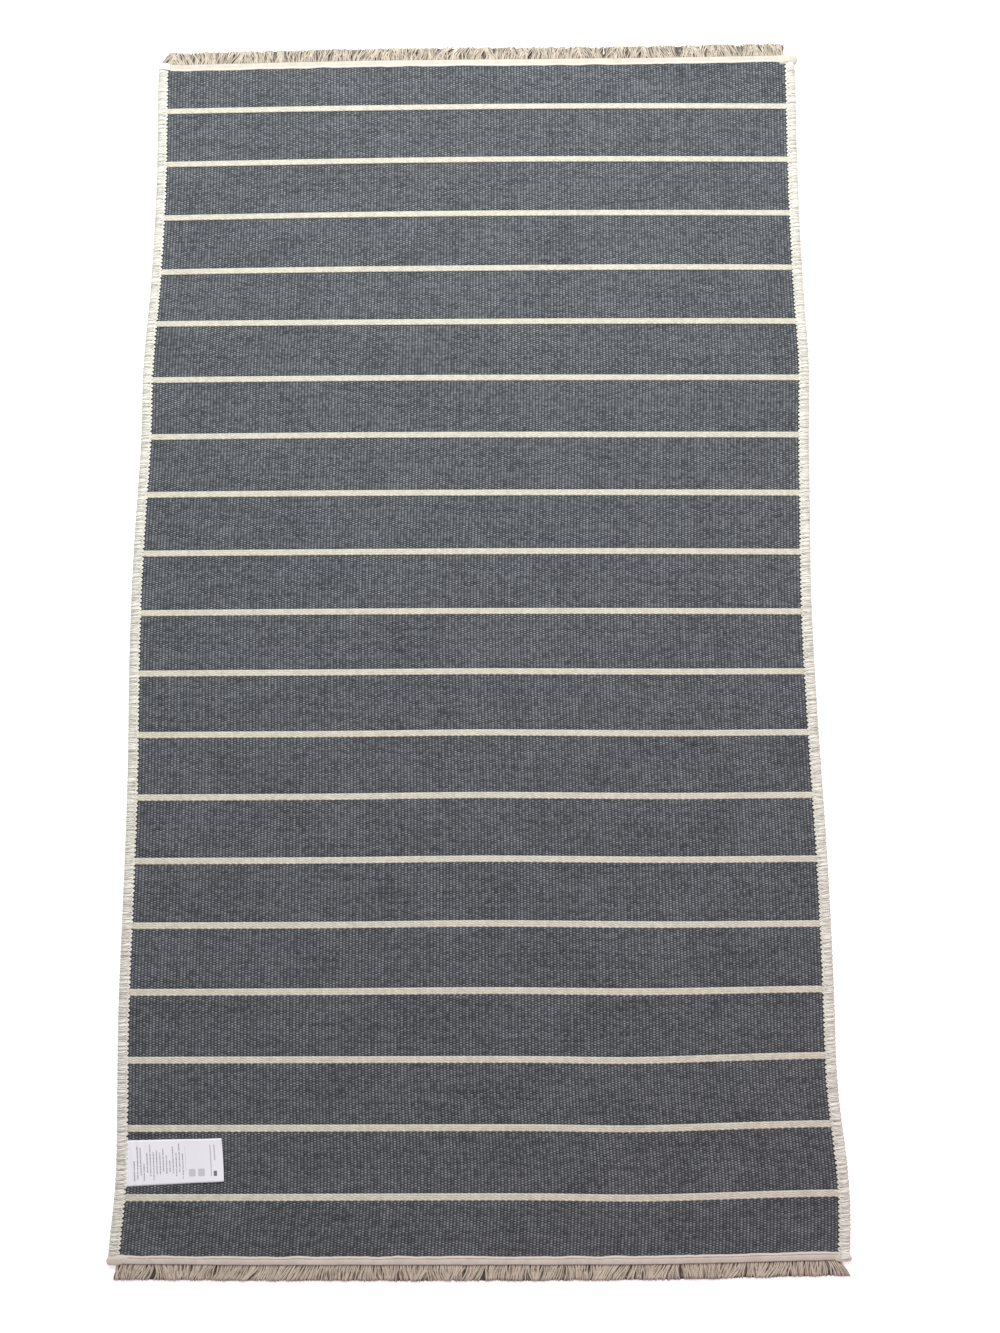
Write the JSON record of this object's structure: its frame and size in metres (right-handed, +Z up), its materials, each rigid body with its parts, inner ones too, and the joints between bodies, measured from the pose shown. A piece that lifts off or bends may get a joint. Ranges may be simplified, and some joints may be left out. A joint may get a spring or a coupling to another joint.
{
  "type": "runner rug",
  "caption": "Flat-woven runner rug, grey with thin cream stripes, overlocked cream sides, taped ends with a short fringe and a sewn-in label; folds and rolls at its stripes.",
  "frame": {"origin": "middle of the rug's underside, on the surface that it lies on", "axes": "+X across the rug, +Y along it from the labelled near end to the far end, +Z up out of the upper face"},
  "size_m": [0.6, 1.0958, 0.005],
  "materials": {
    "grey_field": "matt weft-faced plain weave",
    "cream_stripe": "matt twill-faced weft stripe",
    "edge_binding": "overlocked soft thread with a slight sheen",
    "end_tape": "folded cotton tape",
    "seam_thread": "lockstitched sewing thread",
    "fringe_yarn": "soft twisted cotton yarn",
    "label_satin": "smooth white satin ribbon"
  },
  "bodies": {
    "near_end": {"field_band_01": "grey_field", "field_band_02": "grey_field", "field_band_03": "grey_field", "field_band_04": "grey_field", "field_band_05": "grey_field", "cream_stripes_near": "cream_stripe", "edge_binding_near": "edge_binding", "near_end_tape": "end_tape", "near_tape_stitches": "seam_thread", "label_tail": "label_satin"},
    "near_fringe": {"near_fringe": "fringe_yarn"},
    "label": {"label_flap": "label_satin"},
    "section_05": {"cream_stripe_05": "cream_stripe", "field_band_06": "grey_field", "edge_binding_05": "edge_binding"},
    "section_06": {"cream_stripe_06": "cream_stripe", "field_band_07": "grey_field", "edge_binding_06": "edge_binding"},
    "section_07": {"cream_stripe_07": "cream_stripe", "field_band_08": "grey_field", "edge_binding_07": "edge_binding"},
    "section_08": {"cream_stripe_08": "cream_stripe", "field_band_09": "grey_field", "edge_binding_08": "edge_binding"},
    "section_09": {"cream_stripe_09": "cream_stripe", "field_band_10": "grey_field", "edge_binding_09": "edge_binding"},
    "section_10": {"cream_stripe_10": "cream_stripe", "field_band_11": "grey_field", "edge_binding_10": "edge_binding"},
    "section_11": {"cream_stripe_11": "cream_stripe", "field_band_12": "grey_field", "edge_binding_11": "edge_binding"},
    "section_12": {"cream_stripe_12": "cream_stripe", "field_band_13": "grey_field", "edge_binding_12": "edge_binding"},
    "section_13": {"cream_stripe_13": "cream_stripe", "field_band_14": "grey_field", "edge_binding_13": "edge_binding"},
    "section_14": {"cream_stripe_14": "cream_stripe", "field_band_15": "grey_field", "edge_binding_14": "edge_binding"},
    "section_15": {"cream_stripe_15": "cream_stripe", "field_band_16": "grey_field", "edge_binding_15": "edge_binding"},
    "section_16": {"cream_stripe_16": "cream_stripe", "field_band_17": "grey_field", "edge_binding_16": "edge_binding"},
    "section_17": {"cream_stripe_17": "cream_stripe", "field_band_18": "grey_field", "edge_binding_17": "edge_binding"},
    "section_18": {"cream_stripe_18": "cream_stripe", "field_band_19": "grey_field", "edge_binding_18": "edge_binding"},
    "section_19": {"cream_stripe_19": "cream_stripe", "field_band_20": "grey_field", "edge_binding_19": "edge_binding", "far_end_tape": "end_tape", "far_tape_stitches": "seam_thread"},
    "far_fringe": {"far_fringe": "fringe_yarn"}
  },
  "joints": [
    {"name": "fold_05", "type": "hinge", "parent": "near_end", "child": "section_05", "pos_m": [0, -0.27035, 0.0024], "axis": [1, 0, 0], "range_deg": [0, 36]},
    {"name": "fold_06", "type": "hinge", "parent": "section_05", "child": "section_06", "pos_m": [0, -0.2165, 0.0024], "axis": [1, 0, 0], "range_deg": [0, 37]},
    {"name": "fold_07", "type": "hinge", "parent": "section_06", "child": "section_07", "pos_m": [0, -0.16265, 0.0024], "axis": [1, 0, 0], "range_deg": [0, 38]},
    {"name": "fold_08", "type": "hinge", "parent": "section_07", "child": "section_08", "pos_m": [0, -0.1088, 0.0024], "axis": [1, 0, 0], "range_deg": [0, 39]},
    {"name": "fold_09", "type": "hinge", "parent": "section_08", "child": "section_09", "pos_m": [0, -0.05495, 0.0024], "axis": [1, 0, 0], "range_deg": [0, 41]},
    {"name": "fold_10", "type": "hinge", "parent": "section_09", "child": "section_10", "pos_m": [0, -0.0011, 0.0024], "axis": [1, 0, 0], "range_deg": [0, 43]},
    {"name": "fold_11", "type": "hinge", "parent": "section_10", "child": "section_11", "pos_m": [0, 0.05275, 0.0024], "axis": [1, 0, 0], "range_deg": [0, 45]},
    {"name": "fold_12", "type": "hinge", "parent": "section_11", "child": "section_12", "pos_m": [0, 0.1066, 0.0024], "axis": [1, 0, 0], "range_deg": [0, 47]},
    {"name": "fold_13", "type": "hinge", "parent": "section_12", "child": "section_13", "pos_m": [0, 0.16045, 0.0024], "axis": [1, 0, 0], "range_deg": [0, 50]},
    {"name": "fold_14", "type": "hinge", "parent": "section_13", "child": "section_14", "pos_m": [0, 0.2143, 0.0024], "axis": [1, 0, 0], "range_deg": [0, 52]},
    {"name": "fold_15", "type": "hinge", "parent": "section_14", "child": "section_15", "pos_m": [0, 0.26815, 0.0024], "axis": [1, 0, 0], "range_deg": [0, 55]},
    {"name": "fold_16", "type": "hinge", "parent": "section_15", "child": "section_16", "pos_m": [0, 0.322, 0.0024], "axis": [1, 0, 0], "range_deg": [0, 57]},
    {"name": "fold_17", "type": "hinge", "parent": "section_16", "child": "section_17", "pos_m": [0, 0.37585, 0.0024], "axis": [1, 0, 0], "range_deg": [0, 60]},
    {"name": "fold_18", "type": "hinge", "parent": "section_17", "child": "section_18", "pos_m": [0, 0.4297, 0.0024], "axis": [1, 0, 0], "range_deg": [0, 63]},
    {"name": "fold_19", "type": "hinge", "parent": "section_18", "child": "section_19", "pos_m": [0, 0.48355, 0.0024], "axis": [1, 0, 0], "range_deg": [0, 66]},
    {"name": "near_fringe_swing", "type": "hinge", "parent": "near_end", "child": "near_fringe", "pos_m": [0, -0.53655, 0.0007], "axis": [-1, 0, 0], "range_deg": [0, 75]},
    {"name": "far_fringe_swing", "type": "hinge", "parent": "section_19", "child": "far_fringe", "pos_m": [0, 0.53595, 0.0007], "axis": [1, 0, 0], "range_deg": [0, 75]},
    {"name": "label_lift", "type": "hinge", "parent": "near_end", "child": "label", "pos_m": [-0.2882, -0.4564, 0.00455], "axis": [0, -1, 0], "range_deg": [0, 150]}
  ]
}
